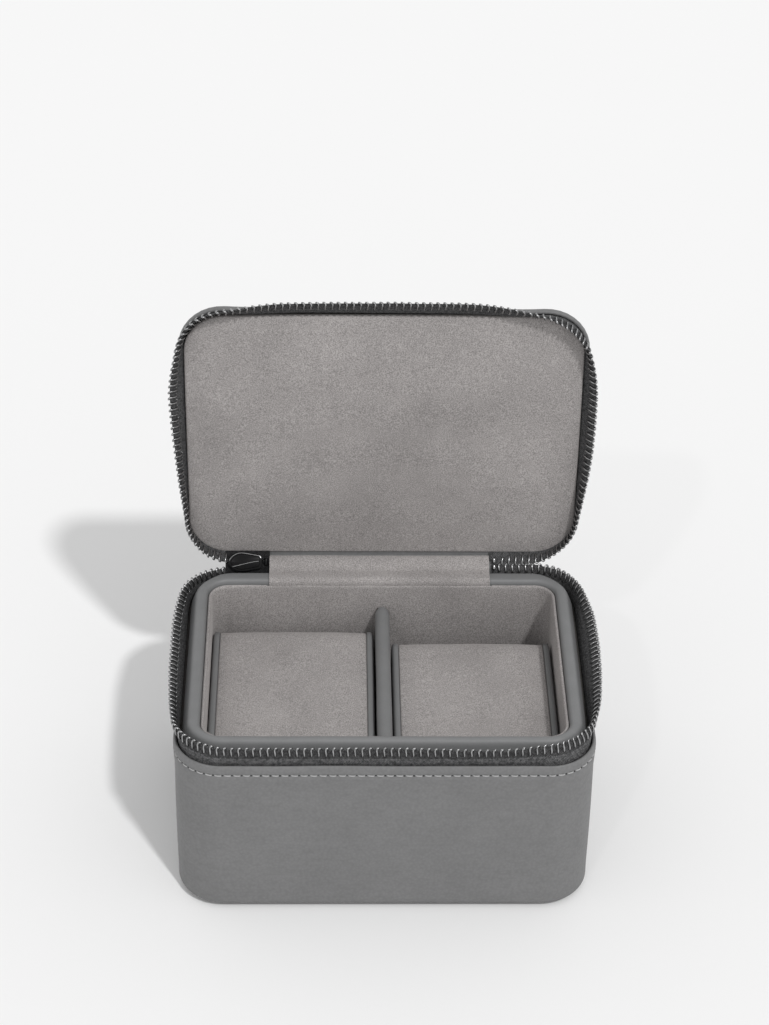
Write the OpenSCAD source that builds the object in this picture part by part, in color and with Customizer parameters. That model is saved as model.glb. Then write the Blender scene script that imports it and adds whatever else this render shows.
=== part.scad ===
// Zip-round travel case for two watches: a deep leather box with a shallow
// hinged lid, an inner tray, a centre divider and two lift-out watch cushions.
// +X is to the right, +Y is towards the hinge, +Z is up. The origin is the
// centre of the underside. The lid stands open.

/* [Case] */
// Width of the leather body, left to right
case_w = 152; // [148:1:160]
// Depth of the leather body, front to back
case_d = 110; // [108:1:116]
// Corner radius of the outline, seen from above
corner_r = 17.5; // [16.5:0.5:20]
// Height of the top edge of the base's leather
base_edge_z = 69.5; // [69:0.5:70]
// Height of the lid's leather, from its lower edge to its flat top
lid_h = 9; // [9:0.1:9.4]
// Angle that the lid stands open, from closed
lid_open_deg = 91.2; // [88:0.2:94]

/* [Inside] */
// Height of the padded rim round the inner tray
rim_z = 76; // [75.5:0.5:76]
// Width of the divider between the two compartments
divider_w = 5.5; // [4.5:0.5:5.5]
// Height of the top of the divider
divider_z = 65.5; // [62:0.5:68]
// Length of each watch cushion, left to right
cushion_w = 60; // [57:0.5:60]
// Depth of each watch cushion, front to back
cushion_d = 73; // [60:1:73]
// Height of the top of each watch cushion
cushion_top_z = 60; // [52:1:63]
// How far the left cushion is pushed back from the middle
left_shift = 3.5; // [-3.5:0.5:3.5]
// How far the right cushion is pushed back from the middle
right_shift = -3.7; // [-4:0.1:4]

/* [Zip] */
// Distance from one tooth to the next
tooth_pitch = 2.58; // [2.4:0.02:3]
// Thickness of the woven tape
tape_t = 0.6; // [0.5:0.1:0.6]

/* [Hidden] */
$fn = 48;

leather_c = [0.42, 0.42, 0.43];
smooth_c = [0.36, 0.37, 0.38];
velvet_c = [0.58, 0.56, 0.55];
board_c = [0.62, 0.55, 0.45];
foam_c = [0.85, 0.84, 0.78];
tape_c = [0.13, 0.13, 0.14];
metal_c = [0.2, 0.2, 0.21];
thread_c = [0.66, 0.66, 0.66];

hw = case_w / 2;
hd = case_d / 2;
sx = hw - corner_r;   // half length of the straight front and back runs
sy = hd - corner_r;   // half length of the straight side runs
leather_t = 1.3;
hinge_half = 42.2;    // half width of the fabric and leather hinge
hinge_y = hd;         // the line that the lid turns about
hinge_z = 78;
parting_z = 77.1;     // where the two rows of teeth meet
lid_edge_z = 84;      // lower edge of the lid's leather, when closed
lid_top_z = lid_edge_z + lid_h;
zip_left_x = -61.3;   // the teeth end here, at the left of the hinge
zip_right_x = 44.4;   // and here, at its right
slider_tilt = 38;     // the slider leans back with the bent tapes
slider_y = hd + 0.85;  // and its middle is here
slider_z = 77.15;
arch_out = 4.05;      // from the slider's middle out to its arch
pivot_x = -52.25;     // the puller's link hangs here
pivot_y = slider_y + arch_out * cos(slider_tilt);
pivot_z = slider_z - arch_out * sin(slider_tilt);
tab_z = pivot_z - 6.05;

// points of an arc, from angle a to angle b in n steps
function arc(cx, cy, r, a, b, n) =
    [for (i = [0:n]) let (t = a + (b - a) * i / n) [cx + r * cos(t), cy + r * sin(t)]];

// outline of a strip of thickness t laid along a list of points
function side(p, i) =
    let (a = p[max(i - 1, 0)], b = p[min(i + 1, len(p) - 1)], d = b - a)
    [-d[1], d[0]] / norm(d);
function strip(p, t) = concat(
    [for (i = [0:len(p) - 1]) p[i] + side(p, i) * t / 2],
    [for (i = [len(p) - 1:-1:0]) p[i] - side(p, i) * t / 2]);

// a profile of [inset, height] points carried round the rounded outline
module ring(prof) {
    for (m = [0, 1]) mirror([0, m, 0])
        translate([-sx, 0, 0]) rotate([90, 0, 90]) linear_extrude(2 * sx)
            polygon([for (p = prof) [p[0] - hd, p[1]]]);
    for (m = [0, 1]) mirror([m, 0, 0])
        translate([0, sy, 0]) rotate([90, 0, 0]) linear_extrude(2 * sy)
            polygon([for (p = prof) [p[0] - hw, p[1]]]);
    for (c = [[1, 1, 0], [-1, 1, 90], [-1, -1, 180], [1, -1, 270]])
        translate([c[0] * sx, c[1] * sy, 0]) rotate([0, 0, c[2]])
            rotate_extrude(angle = 90) polygon([for (p = prof) [corner_r - p[0], p[1]]]);
}

// a flat plate with the case's outline taken in by o
module plate(o, z0, z1) {
    r = corner_r - o;
    translate([-hw + o, -sy, z0]) cube([case_w - 2 * o, 2 * sy, z1 - z0]);
    translate([-sx, -hd + o, z0]) cube([2 * sx, case_d - 2 * o, z1 - z0]);
    for (x = [-sx, sx], y = [-sy, sy])
        translate([x, y, z0]) cylinder(r = r, h = z1 - z0);
}

// place and heading at distance s clockwise round the outline taken in by o,
// from the middle of the back
function quarter(o) = PI * (corner_r - o) / 2;
function loop_len(o) = 4 * sx + 4 * sy + 4 * quarter(o);
function at(s, o) =
    let (q = quarter(o), r = corner_r - o, a = 90 / q,
         s1 = sx, s2 = s1 + q, s3 = s2 + 2 * sy, s4 = s3 + q, s5 = s4 + 2 * sx,
         s6 = s5 + q, s7 = s6 + 2 * sy, s8 = s7 + q)
    s < s1 ? [s, hd - o, 0] :
    s < s2 ? [sx + r * sin((s - s1) * a), sy + r * cos((s - s1) * a), -(s - s1) * a] :
    s < s3 ? [hw - o, sy - (s - s2), -90] :
    s < s4 ? [sx + r * cos((s - s3) * a), -sy - r * sin((s - s3) * a), -90 - (s - s3) * a] :
    s < s5 ? [sx - (s - s4), -hd + o, -180] :
    s < s6 ? [-sx - r * sin((s - s5) * a), -sy - r * cos((s - s5) * a), -180 - (s - s5) * a] :
    s < s7 ? [-hw + o, -sy + (s - s6), -270] :
    s < s8 ? [-sx - r * cos((s - s7) * a), sy + r * sin((s - s7) * a), -270 - (s - s7) * a] :
    [-sx + (s - s8), hd - o, -360];

// a row of separate metal teeth from z0 to z1
module teeth(z0, z1, phase) {
    o = 0.3;
    run = loop_len(o) + zip_left_x - zip_right_x;
    n = floor(run / tooth_pitch) - 1;
    for (i = [0:n - 1]) {
        p = at(zip_right_x + (i + 0.5 + phase) * tooth_pitch, o);
        translate([p[0], p[1], z0]) rotate([0, 0, p[2]])
            translate([-0.7, -1, 0]) cube([1.4, 2, z1 - z0]);
    }
}

// turns a piece of the lid from closed to where it stands open
module lid_pose() {
    translate([0, hinge_y, hinge_z]) rotate([-lid_open_deg, 0, 0])
        translate([0, -hinge_y, -hinge_z]) children();
}

// ---------------------------------------------------------------- base

module bottom_panel() color(leather_c) plate(4, 0, 1);

module base_carcass() color(board_c) {
    ring([[1.4, 4.2], [3.2, 2.4], [4.6, 2.4], [4.6, 4.3], [3.4, 4.3],
          [3.4, base_edge_z - 2], [2.2, base_edge_z - 2], [2.2, 60.8], [1.4, 60.8]]);
    plate(4.4, 2.4, 4.3);
}

module base_leather() color(leather_c)
    ring(concat([[0, base_edge_z]], arc(3, 4, 3, 180, 270, 6), [[12, 1], [12, 2.3]],
                arc(3, 4, 1.7, 270, 180, 6), [[leather_t, base_edge_z]]));

module base_stitching() color(thread_c)
    ring([[-0.3, 64.65], [0, 64.65], [0, 65.1], [-0.3, 65.1]]);

module base_zip_tape() color(tape_c)
    difference() {
        ring([[1.5, 61], [1.5 + tape_t, 61], [1.5 + tape_t, 70.2],
              [0.2 + tape_t, 74.5], [0.2, 74.5], [1.5, 70]]);
        // left open across the hinge
        translate([-43.4, hd - 6, 55]) cube([86, 12, 25]);
    }

module base_zip_teeth() color(metal_c) teeth(74.5, parting_z - 0.3, 0);

module tray_frame() color(board_c)
    ring([[3.6, 4.4], [9.6, 4.4], [9.6, 59.9], [8.6, 59.9], [8.6, rim_z - 1.6],
          [8.1, rim_z - 1.2], [5.1, rim_z - 1.2], [3.6, rim_z - 2.9]]);

module tray_rim_leather() color(smooth_c)
    ring(concat([[2.4, base_edge_z - 1.7]], arc(5.4, rim_z - 3, 3, 180, 90, 6),
                arc(8.2, rim_z - 1.5, 1.5, 90, 0, 4), [[9.7, 60.1], [8.7, 60.1]],
                [[8.7, rim_z - 1.4], [8.2, rim_z - 1]],
                arc(5.4, rim_z - 3, 2, 90, 180, 5), [[3.4, base_edge_z - 1.7]]));

module tray_lining() color(velvet_c)
    ring([[9.8, 14.1], [11.5, 14.1], [11.5, rim_z - 1.5], [11.1, rim_z - 1],
          [10.2, rim_z - 1], [9.8, rim_z - 1.4]]);

module floor_foam() color(foam_c) plate(9.8, 4.4, 13);

module floor_lining() color(velvet_c) plate(9.8, 13.05, 14.05);

module divider_board() color(board_c)
    translate([-divider_w / 2 + 1, -hd + 11.7, 14.1])
        cube([divider_w - 2, case_d - 23.4, divider_z - 15.2]);

module divider_leather() color(smooth_c)
    difference() {
        union() {
            translate([-divider_w / 2, -hd + 11.7, 14.1])
                cube([divider_w, case_d - 23.4, divider_z - divider_w / 2 - 14.1]);
            translate([0, hd - 11.7, divider_z - divider_w / 2]) rotate([90, 0, 0])
                cylinder(r = divider_w / 2, h = case_d - 23.4);
        }
        translate([-divider_w / 2 + 0.95, -hd, 10])
            cube([divider_w - 1.9, case_d, divider_z - 11.05]);
    }

// ---------------------------------------------------------------- hinge

module hinge_leather() color(leather_c)
    translate([-hinge_half, 0, 0]) rotate([90, 0, 90]) linear_extrude(2 * hinge_half)
        polygon(strip([[hd - 0.6, 69.6], [hd - 0.6, 72.2], [hd - 0.1, 74.6], [hd + 1.1, 76.5],
                       [hd + 2.8, 77.7], [hd + 4.6, 78.1], [hd + 5.9, 78.1]], 0.8));

module hinge_lining() color(velvet_c)
    translate([-hinge_half, 0, 0]) rotate([90, 0, 90]) linear_extrude(2 * hinge_half)
        polygon(strip([[hd - 10.6, rim_z - 0.5], [hd - 9.4, rim_z + 0.05], [hd - 8.2, rim_z + 0.45],
                       [hd - 5.4, rim_z + 0.45], [hd - 3.6, rim_z + 0.2], [hd - 2, rim_z + 0.6],
                       [hd - 0.4, rim_z + 2], [hd + 1.2, rim_z + 3.6], [hd + 3.3, rim_z + 4.6]], 0.6));

module zip_bottom_stop() color(metal_c)
    translate([-45.4, hd - 1.4, parting_z - 2.2]) cube([1.8, 2.2, 3.2]);

module zip_top_stop_base() color(metal_c)
    translate([42.8, hd - 1.3, parting_z - 2.6]) cube([1.6, 2, 2.2]);

// ---------------------------------------------------------------- lid

module lid_leather() color(leather_c) lid_pose() {
    ring(concat(arc(9, lid_edge_z, lid_h, 180, 90, 12), [[10, lid_top_z], [10, lid_top_z - 1.2]],
                arc(9, lid_edge_z, lid_h - 1.2, 90, 180, 12)));
    plate(9.6, lid_top_z - 1.2, lid_top_z);
}

module lid_carcass() color(board_c) lid_pose() {
    ring(concat(arc(9, lid_edge_z, 7.6, 138, 90, 6), [[10, lid_edge_z + 7.6], [10, lid_edge_z + 6.1]],
                arc(9, lid_edge_z, 6.1, 90, 138, 6)));
    plate(9.6, lid_edge_z + 6.1, lid_edge_z + 7.6);
}

module lid_padding() color(foam_c) lid_pose()
    plate(8.2, lid_edge_z + 2.4, lid_edge_z + 6);

module lid_panel_board() color(board_c) lid_pose() plate(3.5, lid_edge_z + 0.7, lid_edge_z + 2.3);

module lid_panel_foam() color(foam_c) lid_pose() plate(3.5, lid_edge_z - 1.4, lid_edge_z + 0.6);

module lid_panel_lining() color(velvet_c) lid_pose() {
    ring([[2.6, lid_edge_z - 1.3], [3.4, lid_edge_z - 2.3], [6, lid_edge_z - 2.3],
          [6, lid_edge_z - 1.5], [3.4, lid_edge_z - 1.5], [3.4, lid_edge_z + 2.3],
          [2.6, lid_edge_z + 2.3]]);
    plate(5.6, lid_edge_z - 2.3, lid_edge_z - 1.5);
}

module lid_stitching() color(thread_c) lid_pose()
    ring(concat(arc(9, lid_edge_z, lid_h + 0.02, 152.1, 148.9, 1),
                arc(9, lid_edge_z, lid_h + 0.3, 148.9, 152.1, 1)));

module lid_zip_tape() color(tape_c) lid_pose()
    difference() {
        ring(concat([[0.2, 79.7], [0.2 + tape_t, 79.7], [9 - 6.95, lid_edge_z]],
                    arc(9, lid_edge_z, 6.95, 175, 144, 4), arc(9, lid_edge_z, 7.55, 144, 175, 4),
                    [[9 - 7.55, lid_edge_z]]));
        // left open across the hinge and past the slider
        translate([-61.8, hd - 8, 70]) cube([104.4, 12, 25]);
    }

module lid_zip_teeth() color(metal_c) lid_pose() teeth(parting_z + 0.3, 79.7, 0.5);

module zip_top_stop_lid() color(metal_c) lid_pose()
    translate([42.8, hd - 1.3, parting_z + 0.4]) cube([1.6, 2, 2.2]);

// ---------------------------------------------------------------- slider and puller

// a plate of the slider, between y0 and y1 from its middle
module slider_plate(y0, y1)
    translate([0, y1, 0]) rotate([90, 0, 0]) linear_extrude(y1 - y0)
        polygon([[-58, -3.1], [-57, -3.7], [-53, -3.7], [-46.5, -2.7],
                 [-46.5, 2.7], [-53, 3.7], [-57, 3.7], [-58, 3.1]]);

module zip_slider() color(metal_c)
    translate([0, slider_y, slider_z]) rotate([-slider_tilt, 0, 0]) {
        // the two plates, joined by the wedge that parts the teeth
        slider_plate(-1.95, -1.25);
        slider_plate(1.15, 1.95);
        translate([-58, -1.35, -0.8]) cube([3, 2.6, 1.6]);
        // flanges that close over the edges of the teeth
        translate([-57, 0.65, 2.9]) cube([4, 0.6, 0.7]);
        for (z = [2.9, -3.6]) translate([-57, -1.35, z]) cube([4, 0.4, 0.7]);
        // arch that the puller hangs from
        translate([pivot_x - 3.4, arch_out, 0]) rotate([0, 90, 0]) cylinder(r = 0.45, h = 6.8);
        for (x = [pivot_x - 3.9, pivot_x + 2.9])
            translate([x, 1.85, -0.5]) cube([1, arch_out - 1.4, 1]);
    }

module puller_link() color(metal_c) translate([pivot_x, pivot_y, 0]) {
    for (e = [[pivot_z, 0], [tab_z + 1.05, 180]])
        translate([0, 0, e[0]]) rotate([e[1], 0, 0]) rotate([90, 0, 0]) rotate([0, 90, 0])
            rotate_extrude(angle = 180) translate([1.05, 0]) circle(r = 0.4);
    for (y = [-1.05, 1.05])
        translate([0, y, tab_z + 1.05]) cylinder(r = 0.4, h = pivot_z - tab_z - 1.05);
}

module puller_tab() color(metal_c)
    translate([pivot_x, pivot_y + 0.5, tab_z]) rotate([90, 0, 0]) linear_extrude(1)
        difference() {
            union() {
                circle(r = 2.1);
                translate([-1.7, -5.5]) square([3.4, 5.5]);
                translate([0, -6]) circle(r = 3.5);
                translate([-3.5, -18]) square([7, 12]);
                translate([0, -18]) circle(r = 3.5);
            }
            circle(r = 0.75);
        }

// ---------------------------------------------------------------- watch cushions

cushion_r = 9;        // rounding of the cushion's front and back edges
end_t = 3.2;          // thickness of the leather-covered end boards
cushion_z0 = 14.2;
left_x0 = -63.6;
right_x0 = 3.1;

// the cushion's section, taken in by o, from x0 to x1
module cushion_bar(x0, x1, y, o) {
    r = cushion_r - o;
    z0 = cushion_z0 + o;
    z1 = cushion_top_z - o;
    y0 = y - cushion_d / 2 + o;
    y1 = y + cushion_d / 2 - o;
    translate([x0, y0 + r, z0]) cube([x1 - x0, y1 - y0 - 2 * r, z1 - z0]);
    translate([x0, y0, z0 + r]) cube([x1 - x0, y1 - y0, z1 - z0 - 2 * r]);
    for (a = [y0 + r, y1 - r], b = [z0 + r, z1 - r])
        translate([x0, a, b]) rotate([0, 90, 0]) cylinder(r = r, h = x1 - x0);
}

module cushion_foam(x0, y) color(foam_c)
    cushion_bar(x0 + end_t + 0.05, x0 + cushion_w - end_t - 0.05, y, 1.3);

module cushion_cover(x0, y) color(velvet_c)
    difference() {
        cushion_bar(x0 + end_t + 0.05, x0 + cushion_w - end_t - 0.05, y, 0.5);
        cushion_bar(x0 + end_t - 1, x0 + cushion_w - end_t + 1, y, 1.3);
    }

module cushion_end(x0, y) color(smooth_c) cushion_bar(x0, x0 + end_t, y, 0);

module left_cushion_foam() cushion_foam(left_x0, left_shift);
module left_cushion_cover() cushion_cover(left_x0, left_shift);
module left_cushion_end_outer() cushion_end(left_x0, left_shift);
module left_cushion_end_inner() cushion_end(left_x0 + cushion_w - end_t, left_shift);
module right_cushion_foam() cushion_foam(right_x0, right_shift);
module right_cushion_cover() cushion_cover(right_x0, right_shift);
module right_cushion_end_inner() cushion_end(right_x0, right_shift);
module right_cushion_end_outer() cushion_end(right_x0 + cushion_w - end_t, right_shift);

bottom_panel();
base_carcass();
base_leather();
base_stitching();
base_zip_tape();
base_zip_teeth();
tray_frame();
tray_rim_leather();
tray_lining();
floor_foam();
floor_lining();
divider_board();
divider_leather();
hinge_leather();
hinge_lining();
zip_bottom_stop();
zip_top_stop_base();
lid_leather();
lid_carcass();
lid_padding();
lid_panel_board();
lid_panel_foam();
lid_panel_lining();
lid_stitching();
lid_zip_tape();
lid_zip_teeth();
zip_top_stop_lid();
zip_slider();
puller_link();
puller_tab();
left_cushion_foam();
left_cushion_cover();
left_cushion_end_outer();
left_cushion_end_inner();
right_cushion_foam();
right_cushion_cover();
right_cushion_end_inner();
right_cushion_end_outer();
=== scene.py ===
import math

import bmesh
import bpy
import numpy as np
from mathutils import Matrix, Vector, noise


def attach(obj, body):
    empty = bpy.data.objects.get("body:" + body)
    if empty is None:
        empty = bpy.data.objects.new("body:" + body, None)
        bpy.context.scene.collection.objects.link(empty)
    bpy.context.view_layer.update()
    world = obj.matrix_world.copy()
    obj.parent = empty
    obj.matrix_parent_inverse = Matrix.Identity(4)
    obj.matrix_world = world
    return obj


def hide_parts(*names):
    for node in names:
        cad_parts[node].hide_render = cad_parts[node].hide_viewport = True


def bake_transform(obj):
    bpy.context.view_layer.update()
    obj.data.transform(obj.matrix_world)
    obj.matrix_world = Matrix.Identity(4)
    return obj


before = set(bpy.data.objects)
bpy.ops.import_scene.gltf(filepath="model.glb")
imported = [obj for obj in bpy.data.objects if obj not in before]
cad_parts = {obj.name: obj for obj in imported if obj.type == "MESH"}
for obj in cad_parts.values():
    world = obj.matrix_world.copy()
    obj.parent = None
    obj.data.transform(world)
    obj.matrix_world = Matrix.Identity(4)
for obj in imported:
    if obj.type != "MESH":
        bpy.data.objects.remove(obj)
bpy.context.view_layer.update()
scene = bpy.context.scene
MM = 0.001

# ------------------------------------------------------------------ camera and light

YAW, PITCH, ROLL = (math.radians(a) for a in (1.425, 35.609, 0.948))


def make_camera():
    ahead = Vector(
        (
            math.sin(YAW) * math.cos(PITCH),
            math.cos(YAW) * math.cos(PITCH),
            -math.sin(PITCH),
        )
    )
    right = Vector((math.cos(YAW), -math.sin(YAW), 0))
    up = right.cross(ahead)
    r = math.cos(ROLL) * right + math.sin(ROLL) * up
    u = math.cos(ROLL) * up - math.sin(ROLL) * right
    data = bpy.data.cameras.new("camera")
    data.lens = 94.24
    data.sensor_width = 36
    data.sensor_fit = "AUTO"
    data.clip_start, data.clip_end = 0.05, 60
    cam = bpy.data.objects.new("camera", data)
    scene.collection.objects.link(cam)
    m = Matrix.Identity(4)
    for i in range(3):
        m[i][0], m[i][1], m[i][2] = r[i], u[i], -ahead[i]
    m.translation = Vector((-0.019817, -0.776126, 0.696764))
    cam.matrix_world = m
    scene.camera = cam


make_camera()


def make_light():
    world = bpy.data.worlds.new("studio")
    world.use_nodes = True
    bg = world.node_tree.nodes["Background"]
    bg.inputs["Color"].default_value = (1, 1, 1, 1)
    bg.inputs["Strength"].default_value = 0.7
    scene.world = world
    data = bpy.data.lights.new("key", "SUN")
    data.energy = 1.4
    data.angle = math.radians(3.5)
    key = bpy.data.objects.new("key", data)
    scene.collection.objects.link(key)
    to_light = Vector((0.297, -0.531, 0.794)).normalized()
    key.rotation_mode = "QUATERNION"
    key.rotation_quaternion = to_light.to_track_quat("Z", "Y")
    data = bpy.data.lights.new("glint", "SUN")
    data.energy = 0.14
    data.angle = math.radians(2.0)
    glint = bpy.data.objects.new("glint", data)
    scene.collection.objects.link(glint)
    glint.rotation_mode = "QUATERNION"
    glint.rotation_quaternion = Vector((-0.3, -0.66, 0.69)).to_track_quat("Z", "Y")
    scene.view_settings.view_transform = "Standard"
    scene.view_settings.look = "None"


make_light()

# ------------------------------------------------------------------ materials


class Graph:
    """A short way to write a material's nodes."""

    def __init__(self, name, rough, specular=0.5):
        self.mat = bpy.data.materials.new(name)
        self.mat.use_nodes = True
        self.tree = self.mat.node_tree
        self.tree.nodes.clear()
        self.out = self.tree.nodes.new("ShaderNodeOutputMaterial")
        self.shader = self.tree.nodes.new("ShaderNodeBsdfPrincipled")
        self.tree.links.new(self.shader.outputs[0], self.out.inputs[0])
        self.shader.inputs["Roughness"].default_value = rough
        self.shader.inputs["Specular IOR Level"].default_value = specular
        self.where = self.tree.nodes.new("ShaderNodeTexCoord")

    def put(self, socket, value):
        if isinstance(value, bpy.types.NodeSocket):
            self.tree.links.new(value, socket)
        else:
            socket.default_value = value

    def math(self, op, a, b=0.0, c=0.0):
        n = self.tree.nodes.new("ShaderNodeMath")
        n.operation = op
        self.put(n.inputs[0], a)
        self.put(n.inputs[1], b)
        self.put(n.inputs[2], c)
        return n.outputs[0]

    def object(self):
        return self.where.outputs["Object"]

    def along(self):
        """Millimetres along and across the piece, from its UV map."""
        n = self.tree.nodes.new("ShaderNodeSeparateXYZ")
        self.put(n.inputs[0], self.where.outputs["UV"])
        return n.outputs[0], n.outputs[1]

    def noise(self, scale, detail=3.0, rough=0.5, at=None, stretch=None):
        n = self.tree.nodes.new("ShaderNodeTexNoise")
        vector = at if at is not None else self.object()
        if stretch:
            m = self.tree.nodes.new("ShaderNodeMapping")
            m.inputs["Scale"].default_value = stretch
            self.put(m.inputs["Vector"], vector)
            vector = m.outputs[0]
        self.put(n.inputs["Vector"], vector)
        n.inputs["Scale"].default_value = scale
        n.inputs["Detail"].default_value = detail
        n.inputs["Roughness"].default_value = rough
        return n.outputs[0]

    def cells(self, scale, smooth=0.35, wobble=0.0):
        n = self.tree.nodes.new("ShaderNodeTexVoronoi")
        n.feature = "SMOOTH_F1"
        vector = self.object()
        if wobble:
            w = self.tree.nodes.new("ShaderNodeTexNoise")
            self.put(w.inputs["Vector"], vector)
            w.inputs["Scale"].default_value = scale * 0.6
            v = self.tree.nodes.new("ShaderNodeVectorMath")
            v.operation = "MULTIPLY_ADD"
            self.put(v.inputs[0], w.outputs[1])
            v.inputs[1].default_value = (wobble / scale,) * 3
            self.put(v.inputs[2], vector)
            vector = v.outputs[0]
        self.put(n.inputs["Vector"], vector)
        n.inputs["Scale"].default_value = scale
        n.inputs["Smoothness"].default_value = smooth
        return n.outputs["Distance"]

    def ramp(self, value, low, high, a=0.0, b=1.0):
        n = self.tree.nodes.new("ShaderNodeMapRange")
        n.clamp = True
        self.put(n.inputs["Value"], value)
        n.inputs["From Min"].default_value = low
        n.inputs["From Max"].default_value = high
        n.inputs["To Min"].default_value = a
        n.inputs["To Max"].default_value = b
        return n.outputs[0]

    def colour(self, base, *factors):
        """base times each of the factors."""
        value = None
        for f in factors:
            value = f if value is None else self.math("MULTIPLY", value, f)
        if value is None:
            self.shader.inputs["Base Color"].default_value = (*base, 1)
            return
        n = self.tree.nodes.new("ShaderNodeMix")
        n.data_type = "RGBA"
        n.clamp_factor = False
        n.inputs[6].default_value = (0, 0, 0, 1)
        n.inputs[7].default_value = (*base, 1)
        self.put(n.inputs[0], value)
        self.tree.links.new(n.outputs[2], self.shader.inputs["Base Color"])

    def bump(self, *layers):
        """layers are (height, depth in millimetres)."""
        previous = None
        for height, depth in layers:
            n = self.tree.nodes.new("ShaderNodeBump")
            n.inputs["Strength"].default_value = 1
            n.inputs["Distance"].default_value = depth * MM
            self.put(n.inputs["Height"], height)
            if previous is not None:
                self.tree.links.new(previous, n.inputs["Normal"])
            previous = n.outputs[0]
        self.tree.links.new(previous, self.shader.inputs["Normal"])


def pebbled_leather(holes_at=None, pitch=1.0):
    """Fine-grained leather. holes_at is the height, along the UV map, of a row of needle holes, which are painted as
    dark spots: painted shade inside the holes.
    """
    g = Graph("pebbled_leather" + ("" if holes_at is None else "_stitched"), 0.55, 0.35)
    grain = g.cells(900, 0.5, 0.6)
    fine = g.noise(2600, 2.0, 0.6)
    crease = g.noise(260, 4.0, 0.6, stretch=(0.5, 0.5, 1.6))
    factors = [
        g.ramp(grain, 0.15, 0.85, 1.04, 0.9),
        g.ramp(g.noise(60, 3.0), 0.3, 0.7, 0.97, 1.03),
        g.ramp(crease, 0.3, 0.7, 0.955, 1.045),
    ]
    if holes_at is not None:
        u, v = g.along()
        step = g.math("FRACT", g.math("DIVIDE", u, pitch))
        du = g.math("MULTIPLY", g.math("SUBTRACT", step, 0.5), pitch)
        dv = g.math("SUBTRACT", v, holes_at)
        r = g.math(
            "SQRT",
            g.math("ADD", g.math("POWER", du, 2.0), g.math("POWER", dv, 2.0)),
        )
        # each needle hole is a dark spot down to 0.12 of the leather's colour: painted shade inside the hole
        factors.append(g.ramp(r, 0.28, 0.5, 0.12, 1.0))
    g.colour((0.173, 0.173, 0.174), *factors)
    g.bump((grain, -0.05), (fine, 0.012), (crease, 0.05))
    return g.mat


def smooth_leather():
    g = Graph("smooth_leather", 0.48, 0.4)
    fine = g.noise(1500, 3.0, 0.6)
    soft = g.noise(120, 3.0, 0.5)
    g.colour(
        (0.183, 0.185, 0.187),
        g.ramp(fine, 0.3, 0.7, 0.97, 1.03),
        g.ramp(soft, 0.3, 0.7, 0.96, 1.04),
    )
    g.bump((fine, 0.015), (soft, 0.08))
    return g.mat


def velvet():
    g = Graph("velvet", 0.95, 0.1)
    pile = g.noise(2500, 3.0, 0.7)
    tuft = g.noise(520, 4.0, 0.7)
    nap = g.noise(38, 3.0, 0.5)
    g.colour(
        (0.308, 0.291, 0.285),
        g.ramp(pile, 0.34, 0.66, 0.6, 1.4),
        g.ramp(tuft, 0.3, 0.7, 0.93, 1.07),
        g.ramp(nap, 0.3, 0.7, 0.89, 1.11),
    )
    g.shader.inputs["Sheen Weight"].default_value = 0.25
    g.shader.inputs["Sheen Roughness"].default_value = 0.5
    g.shader.inputs["Sheen Tint"].default_value = (0.9, 0.86, 0.84, 1)
    g.bump((pile, 0.06), (tuft, 0.05))
    return g.mat


def zip_tape(base, name):
    g = Graph(name, 0.85, 0.2)
    u, v = g.along()
    column = g.math("FRACT", g.math("DIVIDE", v, 2.2))
    zigzag = g.math("ABSOLUTE", g.math("SUBTRACT", column, 0.5))
    phase = g.math("ADD", g.math("DIVIDE", u, 0.95), g.math("MULTIPLY", zigzag, 3.4))
    rib = g.math("SINE", g.math("MULTIPLY", phase, 2 * math.pi))
    fleck = g.noise(1100, 2.0, 0.65)
    # the tape's inner side, where v is over 110, is painted at 0.7 of the colour: painted shade on the face turned into
    # the case
    inside = g.math("GREATER_THAN", v, 110.0)
    # the outer side's last 4.3 mm by its edge, under the coil, is painted at 0.55 of the colour: painted shade under
    # the coil
    under = g.math("MULTIPLY", g.math("GREATER_THAN", v, -4.3), g.math("LESS_THAN", v, 1.0))
    g.colour(
        base,
        g.ramp(inside, 0, 1, 1.0, 0.7),
        g.ramp(under, 0, 1, 1.0, 0.55),
        g.ramp(rib, -1, 1, 0.6, 1.4),
        g.ramp(fleck, 0.34, 0.66, 0.5, 1.5),
    )
    g.bump((rib, 0.12), (fleck, 0.08))
    return g.mat


def zip_metal():
    g = Graph("zip_metal", 0.27, 0.5)
    wear = g.noise(700, 2.0)
    g.colour((0.34, 0.34, 0.343), g.ramp(wear, 0.3, 0.7, 0.8, 1.25))
    g.shader.inputs["Metallic"].default_value = 1.0
    g.bump((wear, 0.01))
    return g.mat


def zip_lacquer():
    """The black painted metal of the slider, its puller and the bottom stop."""
    g = Graph("zip_lacquer", 0.27, 0.12)
    wear = g.noise(500, 2.0)
    g.colour((0.006, 0.006, 0.0063), g.ramp(wear, 0.3, 0.7, 0.8, 1.25))
    g.bump((wear, 0.008))
    return g.mat


def thread():
    g = Graph("thread", 0.8, 0.3)
    twist = g.noise(3000, 2.0, stretch=(1, 1, 3))
    g.colour((0.42, 0.42, 0.42), g.ramp(twist, 0.3, 0.7, 0.75, 1.2))
    g.bump((twist, 0.05))
    return g.mat


def board():
    g = Graph("board", 0.9, 0.2)
    fibre = g.noise(400, 4.0, 0.6)
    g.colour((0.055, 0.052, 0.049), g.ramp(fibre, 0.3, 0.7, 0.85, 1.12))
    g.bump((fibre, 0.05))
    return g.mat


def foam():
    g = Graph("foam", 0.95, 0.1)
    pores = g.cells(1300, 0.2, 0.3)
    g.colour((0.62, 0.6, 0.52), g.ramp(pores, 0.1, 0.8, 0.75, 1.05))
    g.bump((pores, 0.15))
    return g.mat


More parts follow.
